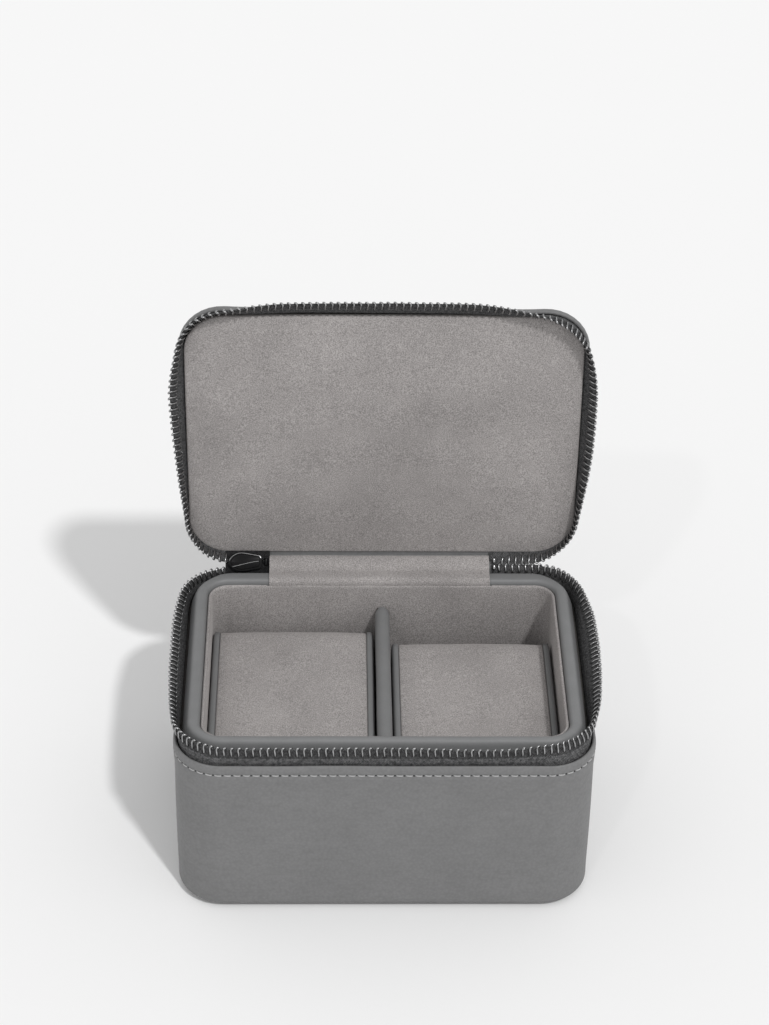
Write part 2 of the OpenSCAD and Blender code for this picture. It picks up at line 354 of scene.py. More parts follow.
def paper():
    g = Graph("floor", 1.0, 0.0)
    g.colour((0.86, 0.86, 0.86), g.ramp(g.noise(6, 2.0), 0.2, 0.8, 0.998, 1.002))
    return g.mat


# ------------------------------------------------------------------ shapes

HW, HD, R = 76.0, 55.0, 17.5
SX, SY = HW - R, HD - R
QUARTER = math.pi * R / 2
ROUND = 4 * SX + 4 * SY + 4 * QUARTER
HINGE_Y, HINGE_Z = 55.0, 78.0
OPEN = math.radians(-91.2)


def outline(s):
    """A point of the case's outline seen from above, and the way out from there. s runs clockwise from the middle of the back."""
    s %= ROUND
    runs = (
        (SX, lambda t: (t, HD, 0.0, 1.0)),
        (QUARTER, lambda t: corner(SX, SY, math.sin(t / R), math.cos(t / R))),
        (2 * SY, lambda t: (HW, SY - t, 1.0, 0.0)),
        (QUARTER, lambda t: corner(SX, -SY, math.cos(t / R), -math.sin(t / R))),
        (2 * SX, lambda t: (SX - t, -HD, 0.0, -1.0)),
        (QUARTER, lambda t: corner(-SX, -SY, -math.sin(t / R), -math.cos(t / R))),
        (2 * SY, lambda t: (-HW, -SY + t, -1.0, 0.0)),
        (QUARTER, lambda t: corner(-SX, SY, -math.cos(t / R), math.sin(t / R))),
        (SX, lambda t: (-SX + t, HD, 0.0, 1.0)),
    )
    for length, place in runs:
        if s <= length:
            return place(s)
        s -= length
    return runs[0][1](0.0)


def corner(cx, cy, nx, ny):
    return cx + R * nx, cy + R * ny, nx, ny


def stations(start, end, step):
    n = max(2, int(round((end - start) / step)))
    return [start + (end - start) * i / n for i in range(n + 1)]


def whole_way(step):
    return stations(0, ROUND, step)[:-1]


def lid(p):
    """Turns a point of the closed lid to where it stands open."""
    y, z = p[1] - HINGE_Y, p[2] - HINGE_Z
    c, s = math.cos(OPEN), math.sin(OPEN)
    return (p[0], HINGE_Y + y * c - z * s, HINGE_Z + y * s + z * c)


def same(p):
    return p


def wobble(x, y, z, scale, seed=0.0):
    """Smooth noise from -1 to 1; scale is the size of its lumps in millimetres."""
    return noise.noise(Vector((x / scale + seed, y / scale - seed, z / scale + 3.1)))


def make(name, verts, faces, uvs, material, angle=55, turn=True):
    me = bpy.data.meshes.new(name)
    me.from_pydata([tuple(c * MM for c in v) for v in verts], [], faces)
    if uvs is not None:
        layer = me.uv_layers.new(name="UVMap")
        layer.data.foreach_set("uv", np.array(uvs, np.float32).ravel())
    if turn:
        bm = bmesh.new()
        bm.from_mesh(me)
        bmesh.ops.recalc_face_normals(bm, faces=bm.faces)
        bm.to_mesh(me)
        bm.free()
    finish_mesh(me, angle)
    me.materials.append(material)
    o = bpy.data.objects.new(name, me)
    scene.collection.objects.link(o)
    return o


def finish_mesh(me, angle):
    me.polygons.foreach_set("use_smooth", [True] * len(me.polygons))
    me.set_sharp_from_angle(angle=math.radians(angle))
    me.update()


def sweep(name, profile, at, material, around=True, loop=True, to=same, angle=55):
    """Carries a profile of (inset, height) points along the outline. profile(s) gives the points there."""
    verts, lengths = [], []
    rows = len(profile(at[0]))
    for s in at:
        x, y, nx, ny = outline(s)
        points = profile(s)
        run, total = [0.0], 0.0
        for i in range(rows):
            o, z = points[i]
            verts.append(to((x - o * nx, y - o * ny, z)))
            a, b = points[i], points[(i + 1) % rows]
            total += math.hypot(b[0] - a[0], b[1] - a[1])
            run.append(total)
        lengths.append(run)
    n = len(at)
    faces, uvs = [], []
    for i in range(n if around else n - 1):
        j = (i + 1) % n
        u0, u1 = at[i], at[j] if j else ROUND
        for k in range(rows if loop else rows - 1):
            m = (k + 1) % rows
            faces.append(
                (i * rows + k, j * rows + k, j * rows + m, i * rows + m)
            )
            uvs += [
                (u0, lengths[i][k]),
                (u1, lengths[j][k]),
                (u1, lengths[j][k + 1]),
                (u0, lengths[i][k + 1]),
            ]
    if not around and loop:
        for i in (0, n - 1):
            faces.append(tuple(i * rows + k for k in range(rows)))
            uvs += [(at[i], 0.0)] * rows
    return make(name, verts, faces, uvs, material, angle)


def tube(name, line, radius, material, sides=8, angle=180, collect=None):
    """A round wire along a line. radius is a number, or one for each point."""
    p = np.array(line, float)
    n = len(p)
    r = np.full(n, float(radius)) if np.isscalar(radius) else np.array(radius, float)
    d = np.gradient(p, axis=0)
    d /= np.linalg.norm(d, axis=1)[:, None]
    side = np.cross(d[0], (0.3, 0.2, 1.0))
    side /= np.linalg.norm(side)
    verts, faces = [], []
    turns = np.linspace(0, 2 * math.pi, sides, endpoint=False)
    for i in range(n):
        side = side - d[i] * side.dot(d[i])
        side /= np.linalg.norm(side)
        other = np.cross(d[i], side)
        for t in turns:
            verts.append(p[i] + r[i] * (math.cos(t) * side + math.sin(t) * other))
    for i in range(n - 1):
        for k in range(sides):
            m = (k + 1) % sides
            faces.append(
                (i * sides + k, i * sides + m, (i + 1) * sides + m, (i + 1) * sides + k)
            )
    faces.append(tuple(range(sides))[::-1])
    faces.append(tuple((n - 1) * sides + k for k in range(sides)))
    if collect is not None:
        base = len(collect[0])
        collect[0].extend(verts)
        collect[1].extend(tuple(i + base for i in f) for f in faces)
        return None
    return make(name, verts, faces, None, material, angle)


def smooth_line(points, steps):
    """A rounded curve through the points."""
    p = np.array(points, float)
    p = np.vstack([2 * p[0] - p[1], p, 2 * p[-1] - p[-2]])
    out = []
    for i in range(1, len(p) - 2):
        a, b, c, d = p[i - 1 : i + 3]
        for k in range(steps):
            t = k / steps
            out.append(
                0.5
                * (
                    2 * b
                    + (c - a) * t
                    + (2 * a - 5 * b + 4 * c - d) * t * t
                    + (3 * b - a - 3 * c + d) * t**3
                )
            )
    out.append(p[-2])
    return np.array(out)


def arc(cx, cy, r, a, b, n):
    return [
        (
            cx + r * math.cos(math.radians(a + (b - a) * i / n)),
            cy + r * math.sin(math.radians(a + (b - a) * i / n)),
        )
        for i in range(n + 1)
    ]


def rounded(a, b, r, inset, step=2.6, arc_steps=9):
    """Points round a rectangle of half sizes a and b with corners of radius r, taken in by inset."""
    limit = r - 0.4
    shrink = 1.0
    if inset > limit:
        shrink = max(0.0, (min(a, b) - inset) / (min(a, b) - limit))
        inset = limit
    na = max(2, int(round(2 * (a - r) / step)))
    nb = max(2, int(round(2 * (b - r) / step)))
    q = r - inset
    out = []
    for cx, cy, start, n, dx, dy in (
        (a - r, b - r, 90, nb, 0, -1),
        (a - r, -(b - r), 0, na, -1, 0),
        (-(a - r), -(b - r), -90, nb, 0, 1),
        (-(a - r), b - r, -180, na, 1, 0),
    ):
        for i in range(arc_steps):
            t = math.radians(start - 90 * i / arc_steps)
            out.append((cx + q * math.cos(t), cy + q * math.sin(t)))
        t = math.radians(start - 90)
        x0, y0 = cx + q * math.cos(t), cy + q * math.sin(t)
        length = 2 * (b - r) if dx == 0 else 2 * (a - r)
        for i in range(n):
            out.append((x0 + dx * length * i / n, y0 + dy * length * i / n))
    return [(x * shrink, y * shrink) for x, y in out]


def pillow(name, a, b, r, rings, place, material, step=2.6, angle=55):
    """A closed form made of rings, each a rounded rectangle taken in by its inset and lifted to its height. place(u, v, height, inset) gives the point."""
    verts = []
    count = None
    for inset, height in rings:
        points = rounded(a, b, r, inset, step)
        count = len(points)
        verts += [place(u, v, height, inset) for u, v in points]
    faces = []
    for i in range(len(rings) - 1):
        for k in range(count):
            m = (k + 1) % count
            faces.append(
                (i * count + k, i * count + m, (i + 1) * count + m, (i + 1) * count + k)
            )
    last = (len(rings) - 1) * count
    for start, (inset, height) in ((0, rings[0]), (last, rings[-1])):
        verts.append(place(0, 0, height, inset))
        faces += [
            (start + k, start + (k + 1) % count, len(verts) - 1) for k in range(count)
        ]
    return make(name, verts, faces, None, material, angle)


def join(name, parts):
    """One object out of several, all with the same material."""
    verts, faces = [], []
    for o in parts:
        base = len(verts)
        m = o.matrix_world
        verts += [tuple(c / MM for c in m @ v.co) for v in o.data.vertices]
        faces += [tuple(i + base for i in f.vertices) for f in o.data.polygons]
        material = o.data.materials[0]
        bpy.data.objects.remove(o)
    return make(name, verts, faces, None, material, 35)


def flat_shape(name, loops, thick, bevel, place, material):
    """A flat plate cut to a closed line, with holes, and rounded along its edges. place(u, v, w) gives the point."""
    curve = bpy.data.curves.new(name, "CURVE")
    curve.dimensions = "2D"
    curve.fill_mode = "BOTH"
    curve.extrude = thick / 2 - bevel
    curve.bevel_depth = bevel
    curve.bevel_resolution = 2
    curve.offset = -bevel
    for points in loops:
        spline = curve.splines.new("POLY")
        spline.points.add(len(points) - 1)
        for i, (u, v) in enumerate(points):
            spline.points[i].co = (u, v, 0, 1)
        spline.use_cyclic_u = True
    made = bpy.data.objects.new(name, curve)
    scene.collection.objects.link(made)
    bpy.context.view_layer.update()
    me = made.evaluated_get(bpy.context.evaluated_depsgraph_get()).to_mesh()
    bm = bmesh.new()
    bm.from_mesh(me)
    bmesh.ops.remove_doubles(bm, verts=bm.verts, dist=0.0005)
    verts = [place(v.co.x, v.co.y, v.co.z) for v in bm.verts]
    faces = [tuple(v.index for v in f.verts) for f in bm.faces]
    bm.free()
    made.evaluated_get(bpy.context.evaluated_depsgraph_get()).to_mesh_clear()
    bpy.data.objects.remove(made)
    bpy.data.curves.remove(curve)
    return make(name, verts, faces, None, material, 40)


def inflate(o, pressure, cap, held, frames=20, stiffness=8.0):
    """Swells a stuffed piece with cloth, keeping the points where held(x, y, z) is true."""
    rest = np.array([v.co for v in o.data.vertices], float)
    group = o.vertex_groups.new(name="held")
    fixed = [
        i for i, p in enumerate(rest) if held(*(p / MM))
    ]
    group.add(fixed, 1.0, "REPLACE")
    m = o.modifiers.new("cloth", "CLOTH")
    c = m.settings
    c.quality = 6
    c.mass = 0.05
    c.tension_stiffness = c.compression_stiffness = stiffness
    c.shear_stiffness = stiffness * 0.6
    c.bending_stiffness = 0.05
    c.use_pressure = True
    c.uniform_pressure_force = pressure
    c.effector_weights.gravity = 0
    c.vertex_group_mass = "held"
    m.point_cache.frame_start, m.point_cache.frame_end = 1, frames
    for f in range(1, frames + 1):
        scene.frame_set(f)
    moved = o.evaluated_get(bpy.context.evaluated_depsgraph_get())
    co = np.array([v.co for v in moved.data.vertices], float)
    o.modifiers.remove(m)
    scene.frame_set(1)
    step = co - rest
    far = np.linalg.norm(step, axis=1)
    scale = np.minimum(1, cap * MM / np.maximum(far, 1e-9))
    co = rest + step * scale[:, None]
    o.data.vertices.foreach_set("co", co.ravel())
    o.data.update()
    o.vertex_groups.clear()
    return float(far.max() / MM)


# the materials, made once
LEATHER = pebbled_leather()
SMOOTH = smooth_leather()
VELVET = velvet()
TAPE = zip_tape((0.118, 0.118, 0.12), "zip_tape")
# a near-black copy of the tape, used only where the zip's end is closed behind the slider: painted shade of the deep
# fold there
SHADE_BLACK_TAPE = zip_tape((0.02, 0.02, 0.021), "zip_end_painted_shade")
METAL = zip_metal()
LACQUER = zip_lacquer()
THREAD = thread()
BOARD = board()
FOAM = foam()

STITCHES = 145
PITCH_STITCH = ROUND / STITCHES
STITCH_Z = 64.9

# ------------------------------------------------------------------ the base's leather


def base_skin(s):
    """The outside from the folded top edge down, round under the base to the hem, and back up inside."""
    x, y, nx, ny = outline(s)
    lump = 0.22 * wobble(x, y, 20, 34, 5.0)
    edge = 0.12 * wobble(x, y, 70, 13, 1.0)
    lift = 0.25 * wobble(x, y, 70, 22, 9.0)
    points = [
        (1.18, 66.0),
        (1.2, 67.8 + lift),
        (1.12, 68.45 + lift),
        (0.9, 68.85 + lift),
        (0.58, 69.0 + lift),
        (0.25, 68.9 + lift),
        (0.02, 68.55 + lift),
        (-0.12 - edge * 0.5, 68.0 + lift * 0.7),
        (-0.22 - edge, 67.3),
        (-0.27 - edge, 66.6),
        (-0.24 - edge * 0.7, 65.9),
        (-0.12, 65.45),
        (0.14, 65.1),
        (0.2, STITCH_Z),
        (0.12, 64.66),
        (-0.1, 64.3),
        (-0.2 - edge * 0.4, 63.6),
        (-0.16, 62.4),
        (-0.06, 60.5),
    ]
    for z in range(58, 7, -3):
        swell = 0.28 * math.sin(math.pi * (z - 6) / 54)
        points.append((0.12 - swell + lump * math.sin(math.pi * (z - 4) / 58), float(z)))
    points += arc(3.4, 4.4, 3.4, 180, 270, 7)
    points += [(6.0, 0.98), (11.2, 1.0), (11.9, 1.2), (12.1, 1.65), (11.9, 2.1), (11.2, 2.3)]
    points += arc(3.4, 4.4, 2.0, 270, 180, 5)
    points += [(1.4, 30.0), (1.4, 58.0), (1.25, 62.0)]
    return points


def run_to(points, z_wanted, start=0):
    """How far along a profile it reaches the given height, after its first start points."""
    total = 0.0
    for i in range(len(points) - 1):
        a, b = points[i], points[i + 1]
        if i >= start and (a[1] - z_wanted) * (b[1] - z_wanted) <= 0 and a[1] > b[1]:
            return total + abs(a[1] - z_wanted)
        total += math.hypot(b[0] - a[0], b[1] - a[1])
    return total


STITCHED = pebbled_leather(run_to(base_skin(246.0), STITCH_Z, 8), PITCH_STITCH)

skin = sweep("base_leather_skin", base_skin, whole_way(1.7), STITCHED)
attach(skin, "base")
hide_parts("base_leather")


def stitches(name, to, place):
    """A row of thread stitches. place(s, out, up) gives the (inset, height) there."""
    parts = ([], [])
    for k in range(STITCHES):
        mid = (k + 1) * PITCH_STITCH
        half = 1.12 + 0.05 * wobble(k, 0, 0, 1.7)
        slant = 0.07 + 0.05 * wobble(k, 5, 0, 1.3)
        line = []
        for t, out in (
            (-1.0, -0.62),
            (-0.93, -0.2),
            (-0.7, 0.0),
            (-0.3, 0.07),
            (0.3, 0.07),
            (0.7, 0.0),
            (0.93, -0.2),
            (1.0, -0.62),
        ):
            s = mid + t * half
            x, y, nx, ny = outline(s)
            o, z = place(s, out, slant * t)
            line.append(to((x - o * nx, y - o * ny, z)))
        tube(name, smooth_line(line, 2), 0.25, THREAD, 8, collect=parts)
    return make(name, parts[0], parts[1], None, THREAD, 180)


row = stitches("base_stitches", same, lambda s, out, up: (-0.02 - out, STITCH_Z + up))
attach(row, "base")
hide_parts("base_stitching")

under = pillow(
    "bottom_leather",
    HW,
    HD,
    R,
    [(54, 0.95), (30, 0.95), (11, 0.95), (5.2, 0.95), (4.5, 0.85), (4.15, 0.5), (4.5, 0.15), (5.2, 0.02), (11, 0.0), (30, 0.0), (54, 0.0)],
    lambda u, v, h, i: (u, v, h),
    LEATHER,
)
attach(under, "base")
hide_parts("bottom_panel")

# ------------------------------------------------------------------ the padded rim, the tray's lining and its floor


def further_in(o, z, front):
    """Along the front the padding's shoulder is steeper, so what is under it lies further in."""
    return o + 0.5 * front * max(0.0, 1 - abs(z - 71.3) / 3.4), z


def rim_skin(s):
    x, y, nx, ny = outline(s)
    w = 0.14 * wobble(x, y, 75, 16, 2.0)
    c = 0.1 * wobble(x, y, 75, 7, 8.0)
    side = [
        (2.9, 65.5), (2.95, 67.5), (3.02, 69.0), (3.2, 70.2), (3.55, 71.35), (3.95, 72.45), (4.35, 73.4),
        (4.68, 74.15), (4.98 + c * 0.4, 74.75), (5.35, 75.25), (5.95, 75.68), (6.8, 75.92),
    ]
    front = [
        (2.9, 65.5), (3.0, 66.9), (3.35, 68.2), (4.0, 69.3), (4.7, 70.3), (5.25, 71.3), (5.6, 72.4),
        (5.82, 73.4), (6.05 + c * 0.4, 74.3), (6.4, 75.05), (6.9, 75.6), (7.5, 75.9),
    ]
    f = min(1.0, max(0.0, -ny))
    fallen = [(a[0] + (b[0] - a[0]) * f, a[1] + (b[1] - a[1]) * f) for a, b in zip(side, front)]
    flat = [
        (2.85, 66.5), (2.9, 69.0), (2.95, 71.2), (3.05, 73.0), (3.3, 74.3), (3.75, 75.15), (4.3, 75.6),
        (4.95, 75.8), (5.6, 75.88), (6.3, 75.94), (7.0, 75.98), (7.6, 76.0),
    ]
    far = min(s, ROUND - s)
    k = min(1.0, max(0.0, (80.0 - far) / 24.0))
    k = k * k * (3 - 2 * k)
    points = []
    for i, (a, b) in enumerate(zip(fallen, flat)):
        points.append((a[0] + (b[0] - a[0]) * k, a[1] + (b[1] - a[1]) * k + w * min(1.0, i / 7)))
    inner = [
        (7.8, 74.75), (7.3, 74.1), (6.8, 73.35), (6.25, 72.5), (5.65, 71.4),
        (5.0, 70.3), (4.35, 69.1), (3.95, 67.8), (3.8, 65.5),
    ]
    return points + [
        (8.15, 76.0 + w),
        (8.7, 75.9 + w),
        (9.15, 75.55 + w * 0.8),
        (9.45, 75.0 + w * 0.5),
        (9.62, 74.2),
        (9.68, 72.8),
        (9.68, 60.2),
        (8.72, 60.2),
        (8.7, 73.8),
        (8.35, 74.7),
    ] + [further_in(a, b, f) for a, b in inner]


rim = sweep("tray_rim", rim_skin, whole_way(1.9), SMOOTH)
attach(rim, "base")
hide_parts("tray_rim_leather")


frame_board = sweep(
    "tray_frame_board",
    lambda s: [further_in(a, b, max(0.0, -outline(s)[3])) for a, b in (
        (3.95, 4.5), (3.95, 67.6), (4.5, 69.0), (5.15, 70.2), (5.8, 71.3), (6.4, 72.35),
        (6.95, 73.2), (7.45, 73.9), (7.9, 74.5), (8.25, 74.5), (8.58, 73.7), (8.58, 59.9), (9.55, 59.9), (9.55, 4.5),
    )],
    whole_way(2.5),
    BOARD,
    angle=30,
)
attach(frame_board, "base")
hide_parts("tray_frame")


def lining_skin(s):
    """The tray's velvet wall with its rolled top, thinner at the back where the hinge's strip goes down behind it."""
    x, y, nx, ny = outline(s)
    w = 0.16 * wobble(x, y, 70, 12, 4.0)
    d = 0.66 if s < 42.5 or s > ROUND - 44.0 else 0.0
    points = [
        (9.76, 14.1),
        (9.76, 68.8),
        (9.76 + d, 69.8),
        (9.76 + d, 73.2),
        (9.86 + d * 0.97, 73.9 + w),
        (10.1 + d * 0.6, 74.3 + w),
        (10.4 + d * 0.4, 74.42 + w),
        (10.7 + d * 0.2, 74.3 + w),
        (10.93 + d * 0.1, 73.9 + w),
        (11.04, 73.2 + w * 0.5),
        (11.06, 72.2),
    ]
    for i in range(1, 15):
        z = 72.2 - i * 4.08
        bow = 0.3 * math.sin(math.pi * i / 15) + 0.14 * wobble(x, y, z, 15, 7.0)
        points.append((11.06 - abs(bow) * 0.2 + bow * 0.4, z))
    points += [(11.06, 14.1)]
    return points


around_back = stations(0, 42.2, 2.1) + stations(42.8, ROUND - 44.3, 2.1) + stations(ROUND - 43.7, ROUND, 2.1)[:-1]
lining = sweep("tray_velvet", lining_skin, around_back, VELVET)
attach(lining, "base")
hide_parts("tray_lining")

pad = pillow(
    "floor_velvet_pad",
    HW,
    HD,
    R,
    [(54, 4.45), (30, 4.45), (14, 4.45), (10.4, 4.5), (9.9, 5.2), (9.85, 9), (9.9, 12.8), (10.2, 13.5)]
    + [(i, 13.85) for i in (11.2, 12.6, 14.5, 17.1, 20, 24, 28, 32, 36, 40, 44, 48, 52, 54)],
    lambda u, v, h, i: (
        u,
        v,
        h + (0.22 * math.cos(u / 76 * 1.5) * math.cos(v / 55 * 1.5) if h > 13.6 else 0),
    ),
    VELVET,
    step=4,
)
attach(pad, "base")
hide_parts("floor_lining", "floor_foam")


def divider():
    """The leather-wrapped wall between the two compartments."""
    ys = stations(-43.35, 43.35, 2.2)
    verts, faces = [], []
    section = (
        [(-2.75, 14.1)]
        + [(-2.75, 14.1 + 48.6 * i / 14) for i in range(1, 15)]
        + arc(0, 62.7, 2.75, 180, 0, 12)[1:-1]
        + [(2.75, 14.1 + 48.6 * i / 14) for i in range(14, 0, -1)]
        + [(2.75, 14.1)]
    )
    rows = len(section)
    for y in ys:
        end = max(0.0, 1 - (43.35 - abs(y)) / 1.6)
        for x, z in section:
            puff = 0.12 * wobble(x, y, z, 14, 6.0) + 0.06 * math.sin(
                math.pi * min(1, max(0, (z - 14) / 50))
            )
            k = 1 + puff / 2.75 - 0.16 * end * end
            verts.append((0.26 + x * k, y, z - (0.5 * end * end if z > 60 else 0)))
    n = len(ys)
    for i in range(n - 1):
        for k in range(rows):
            m = (k + 1) % rows
            faces.append((i * rows + k, (i + 1) * rows + k, (i + 1) * rows + m, i * rows + m))
    faces.append(tuple(range(rows)))
    faces.append(tuple((n - 1) * rows + k for k in range(rows)))
    return make("divider_skin", verts, faces, None, SMOOTH, 50)


wall = divider()
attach(wall, "base")
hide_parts("divider_leather")

# ------------------------------------------------------------------ the lid


def lid_edge_profile(s):
    """The lid's leather, from the middle of its thickness at the lower edge round to its flat top."""
    x, y, nx, ny = outline(s)
    w = 0.14 * wobble(x, y, 88, 15, 11.0)
    out = [(0.05, 84.5), (0.0, 85.0)]
    for a in range(171, 89, -3):
        r = 9.0 + w * math.sin(math.radians(a)) * 0.5 - 0.75 * math.exp(-(((a - 146) / 17.0) ** 2))
        if 144 < a < 157:
            r -= 0.3 * math.exp(-(((a - 150.5) / 2.2) ** 2))
        elif a >= 157:
            r += 0.16 * min(1.0, (a - 156) / 4)
        t = math.radians(a)
        out.append((9 + r * math.cos(t), 84 + r * math.sin(t)))
    return out


def slack(x, y):
    """How far the lid's front edge has drawn in, more at its right end."""
    if y >= 0:
        return 0.0
    bow = 0.75 * math.exp(-(((x + 50) / 14) ** 2)) + 0.85 * math.exp(-(((x - 50) / 14) ** 2))
    return -y / HD * (0.45 + 0.4 * (x / HW + 1) + bow)


def lid_shell():
    """The whole leather lid as rings from its underside, round the edge and over to the middle of the top."""
    inner = [(54, 91.7), (40, 91.7), (26, 91.7), (16.9, 91.7), (9, 91.7)]
    inner += [p for p in arc(9, 84, 7.7, 96, 176, 10)]
    inner += [(1.35, 84.05), (1.1, 83.85), (0.75, 83.76), (0.4, 83.82), (0.14, 84.05)]
    outer = lid_edge_profile(246.0)
    top = [(10.5, 93.08), (12.4, 93.15), (14.6, 93.2), (17.0, 93.25)]
    top += [(i, 93.3) for i in (20, 24, 28, 32, 36, 40, 44, 48, 52, 54.2)]
    rings = inner + outer + top

    def place(u, v, h, i):
        lift = 0.0
        if h > 93:
            lift = 0.35 * math.cos(u / 76 * 1.35) * math.cos(v / 55 * 1.35)
            lift += 0.12 * wobble(u, v, h, 26, 3.0)
        return lid((u, v + slack(u, v) * min(1.0, max(0.0, (30 - i) / 20)), h + lift))

    return pillow("lid_leather_shell", HW, HD, R, rings, place, LEATHER)


shell = lid_shell()
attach(shell, "lid")
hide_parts("lid_leather", "lid_padding")


def lid_board():
    """The board under the lid's leather, drawn in along the front with it."""
    rings = [(i, 90.1) for i in (54, 44, 34, 24, 14)] + arc(9, 84, 6.1, 90, 138, 6)
    rings += arc(9, 84, 7.5, 138, 90, 8) + [(i, 91.5) for i in (14, 20, 28, 36, 44, 54)]

    def place(u, v, h, i):
        return lid((u, v + slack(u, v) * min(1.0, max(0.0, (30 - i) / 20)), h))

    return pillow("lid_board", HW, HD, R, rings, place, BOARD, angle=40)


under = lid_board()
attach(under, "lid")
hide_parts("lid_carcass")


def lid_stitch_place(s, out, up):
    a = math.radians(150.5 + up / 9 * 57.3)
    r = 8.02 + out
    return 9 + r * math.cos(a), 84 + r * math.sin(a)


row = stitches(
    "lid_stitches",
    lambda p: lid((p[0], p[1] + slack(p[0], p[1]), p[2])),
    lid_stitch_place,
)
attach(row, "lid")
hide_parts("lid_stitching")


def lid_panel():
    """The velvet-covered pad inside the lid, as a closed form."""
    rings = [(54, 86.2), (40, 86.2), (26, 86.2), (14, 86.2), (5, 86.2), (3.3, 86.1), (2.7, 85.6)]
    rings += [(2.5, 84.9), (2.42, 84.1), (2.38, 83.4), (2.42, 82.95), (2.58, 82.62), (2.85, 82.42), (3.4, 82.32)]
    rings += [(i, 81.5 + 0.92 * (1 - i / 30) ** 2) for i in (4.6, 5.8, 7.4, 9.6, 12, 14.6, 17.05, 20, 23, 26, 29)]
    rings += [(i, 81.5) for i in (32, 35, 38, 41, 44, 47, 50, 52.5, 54.3)]

    def place(u, v, h, i):
        low = min(1.0, max(0.0, (84.2 - h) / 1.2))
        return (u + 0.25 * (u / HW) + 0.15 * max(0.0, u / HW), v + 0.62 + 0.45 * low * max(0.0, v / HD) + 0.5 * max(0.0, -v / HD), h)

    return pillow("lid_panel_velvet", HW, HD, R, rings, place, VELVET, step=3)


panel = lid_panel()
inflate(
    panel,
    3.0,
    0.9,
    lambda x, y, z: z > 82.38,
    frames=14,
)
co = np.array([v.co for v in panel.data.vertices], float) / MM
for i, (x, y, z) in enumerate(co):
    if z < 82.2:
        co[i][2] += 0.1 * wobble(x, y, 0, 22, 13.0) + 0.05 * wobble(x, y, 0, 9, 2.0)
co = np.array([lid(p) for p in co]) * MM
panel.data.vertices.foreach_set("co", co.ravel())
finish_mesh(panel.data, 55)
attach(panel, "lid")
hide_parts("lid_panel_lining", "lid_panel_foam")

# ------------------------------------------------------------------ the zip's two halves

COIL = 2.58
ZIP_FROM, ZIP_TO = 45.4, ROUND - 57.5


class Line:
    """Where one half of the zip runs: the middle of the coil, by distance round the outline."""

    def __init__(self, table, root, knee, follows):
        s = np.array([r[0] for r in table], float)
        grid = np.arange(0, ROUND + 1, 1.0)
        kernel = np.exp(-0.5 * (np.arange(-9, 10) / 3.0) ** 2)
        kernel /= kernel.sum()
        self.grid = grid
        self.made = []
        for c in (1, 2):
            v = np.interp(grid, s, [r[c] for r in table])
            v = np.convolve(np.pad(v, 9, "edge"), kernel, "valid")
            self.made.append(v)
        self.root, self.knee = root, knee
        self.follows = follows

    def tip(self, s):
        o, z = (float(np.interp(s, self.grid, v)) for v in self.made)
        x, y, _, _ = outline(s)
        return np.array((o + 0.12 * wobble(x, y, z, 9, 4.0), z + 0.12 * wobble(x, y, z, 11, 7.0)))

    def axes(self, s):
        """The coil's middle, the way from the tape to its head, and the way out of the case."""
        tip = self.tip(s)
        up = tip - self.foot(s)[1]
        up /= np.linalg.norm(up)
        out = np.array((-abs(up[1]), up[0] * (1 if up[1] > 0 else -1)))
        return tip, up, out

    def foot(self, s):
        """The tape's root and knee there; the lid's follow its front edge."""
        x, y, nx, ny = outline(s)
        pull = (slack(x, y) if self.follows else 0.3) * max(0.0, -ny)
        return np.array(self.root) + (pull, 0), np.array(self.knee) + (pull, 0)

    def tape(self, s):
        """The tape's middle line there, from inside the case to its edge under the coil."""
        tip, up, out = self.axes(s)
        back = min(s, ROUND - s) < 62
        edge = tip + (0.12 if back else -0.38) * up
        root, knee = self.foot(s)
        bend = (knee + tip) / 2
        first = [root + (knee - root) * t for t in (0, 0.2, 0.4)]
        a = first[-1]
        for i in range(1, 9):
            t = i / 8
            first.append(a * (1 - t) ** 3 + 3 * knee * t * (1 - t) ** 2 + 3 * bend * t * t * (1 - t) + edge * t**3)
        return first


BASE_LINE = Line(
    [
        (0, -0.66, 75.95), (44, -0.66, 75.95), (56, -0.6, 75.95), (62, -0.3, 76.3), (67.3, 0, 76.75), (72.5, 0.6, 76.9),
        (80.8, 0.39, 76.8), (86, -0.9, 76.5), (92.9, -2.42, 76), (98.8, -3.59, 75.7), (105.9, -3.91, 75.5),
        (116.8, -4.17, 75.4), (130.4, -3.7, 75.4), (142.4, -2.99, 75.6), (153.7, -1.52, 76.1), (160.5, 0.59, 76.6),
        (167.5, 2.6, 76.9), (173.5, 3.4, 77), (178.5, 3.5, 77), (184.9, 3, 77), (191, 2.1, 77),
        (198.8, 0.8, 76.7), (204.2, 0.2, 76.49), (211.2, 0.5, 76.17), (225, 1.2, 76), (246.2, 1.8, 76),
        (277.3, 1.6, 76), (304.7, 1.4, 76.1), (310.6, 2.1, 76.8), (313.7, 2.2, 76.9), (319.4, 1.6, 76.9),
        (325.1, 1.5, 76.8), (328.8, 0.5, 76.6), (334.4, -0.4, 76.3), (340.8, -1.4, 75.9), (347.2, -1.8, 75.7),
        (357.5, -2.36, 75.6), (370.1, -2.56, 75.6), (388.5, -2.59, 75.6), (399, -2.08, 75.8), (404.5, -1.23, 76.1),
        (410.3, -0.18, 76.45), (415.9, 0.8, 76.4), (421.9, 1.1, 76.05), (427.5, 0.9, 75.6), (433, 0.6, 75.1), (438, 0.5, 74.9), (494, 0.5, 74.9),
    ],
    (1.82, 62.0),
    (1.85, 71.2),
    False,
)

